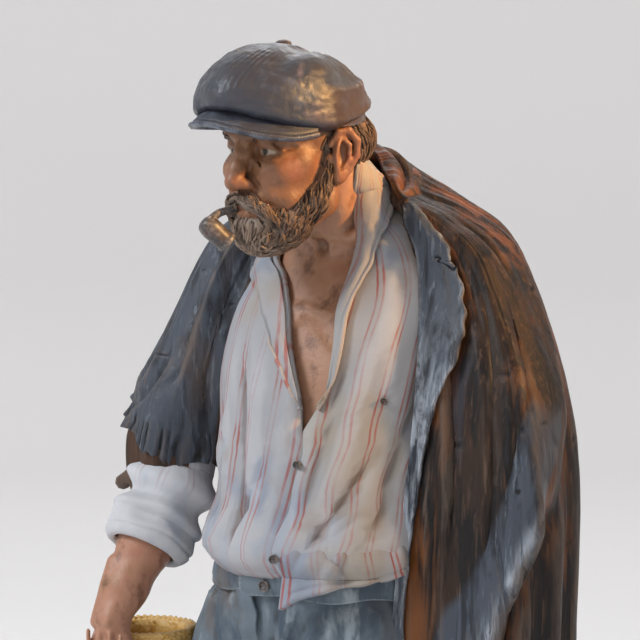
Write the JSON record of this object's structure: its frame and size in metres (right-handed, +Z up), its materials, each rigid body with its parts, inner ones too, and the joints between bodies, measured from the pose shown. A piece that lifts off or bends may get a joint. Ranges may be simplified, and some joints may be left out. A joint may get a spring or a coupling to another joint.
{
  "type": "terracotta figurine",
  "caption": "Painted clay statuette of a stooped old countryman in a flat cap, with a pipe, a coat hung over his shoulders and a small wicker basket, standing on a low base.",
  "frame": {"origin": "middle of the base's flat underside, on the surface that the figurine stands on", "axes": "+Z up, -Y the way the figure faces, +X towards the figure's left hand side"},
  "size_m": [0.1071, 0.1, 0.282],
  "materials": {
    "painted_terracotta": "matt paint and dark wash over fired clay, dry-brushed on the raised parts",
    "dark_paint": "dark grey paint, slightly satin",
    "wicker_paint": "golden ochre paint over clay modelled as wicker"
  },
  "bodies": {
    "root": {"figure": "painted_terracotta", "pipe": "dark_paint", "basket": "wicker_paint"}
  },
  "joints": []
}
